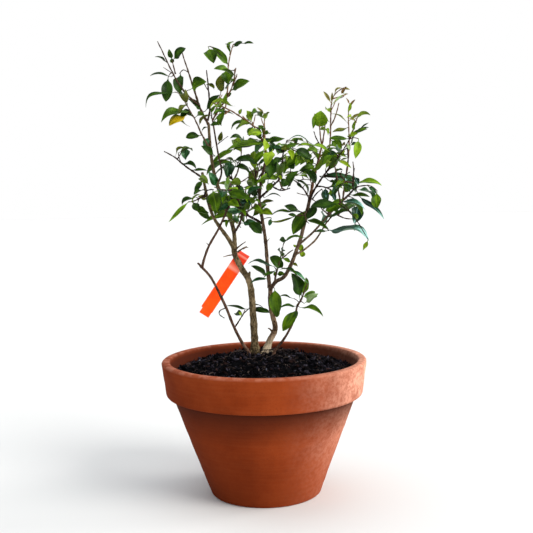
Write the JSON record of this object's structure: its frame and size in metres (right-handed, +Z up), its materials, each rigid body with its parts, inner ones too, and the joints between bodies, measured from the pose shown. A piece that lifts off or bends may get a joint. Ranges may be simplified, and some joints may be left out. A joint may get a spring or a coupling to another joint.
{
  "type": "pomegranate bonsai in a terracotta pot",
  "caption": "Young pomegranate grown as a bonsai: a clump of slender upright stems with open, narrow-leaved foliage, a plain orange tag, and a rimmed terracotta pot full of dark compost.",
  "frame": {"origin": "on the pot's upright axis, in the plane of its flat underside", "axes": "+Z up along the pot's axis; -Y is the side that the picture shows, +X is to the viewer's right"},
  "size_m": [0.2821, 0.249, 0.5654],
  "materials": {
    "terracotta": "unglazed, matte",
    "compost": "moist and crumbly",
    "bark": "rough bark",
    "foliage": "smooth leaves",
    "label_orange": "satin"
  },
  "bodies": {
    "root": {"pot": "terracotta", "soil": "compost", "label": "label_orange", "stem_left": "bark", "stem_right": "bark", "stem_whip_lower": "bark", "stem_low_right": "bark", "bough_left_main": "bark", "bough_left_outer": "bark", "bough_left_thin": "bark", "stem_whip_upper": "bark", "bough_centre": "bark", "bough_right": "bark", "bough_right_arm": "bark", "bough_right_under": "bark", "leaves_top_left": "foliage", "leaves_left_shoulder": "foliage", "leaves_top_middle": "foliage", "leaves_left_spur": "foliage", "leaves_left_low": "foliage", "leaves_heart": "foliage", "leaves_heart_low": "foliage", "leaves_inner": "foliage", "leaves_centre_top": "foliage", "leaves_centre": "foliage", "leaves_centre_back": "foliage", "leaves_right_top": "foliage", "leaves_right_front": "foliage", "leaves_right_shoots": "foliage", "leaves_right_arm": "foliage", "leaves_right_under": "foliage", "leaves_right_low": "foliage", "leaves_fork": "foliage", "leaves_low_right": "foliage", "leaves_low_left": "foliage"}
  },
  "joints": []
}
